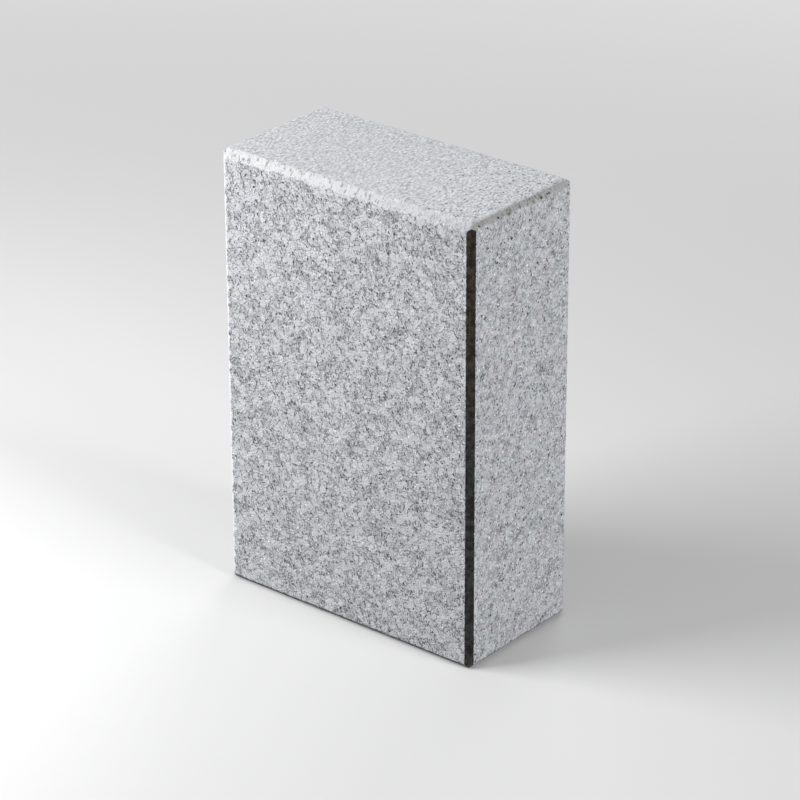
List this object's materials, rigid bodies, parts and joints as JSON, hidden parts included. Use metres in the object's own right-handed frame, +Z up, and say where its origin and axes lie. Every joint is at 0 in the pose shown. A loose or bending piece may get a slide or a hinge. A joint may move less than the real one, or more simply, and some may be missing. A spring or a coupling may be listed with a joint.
{
  "type": "granite sett",
  "caption": "Oblong block of pale grey granite with bevelled arrises, sawn sides and a rough-textured head, laid in rows to pave or edge a surface.",
  "frame": {"origin": "middle of the foot, the end face that the block stands on", "axes": "+Z up along the block's length, from foot to head; +X across the broad faces; +Y through the block's thickness, so the broad faces look along -Y and +Y"},
  "size_m": [0.1, 0.05, 0.15],
  "materials": {
    "granite": "matte"
  },
  "bodies": {
    "root": {"granite_sett": "granite"}
  },
  "joints": []
}
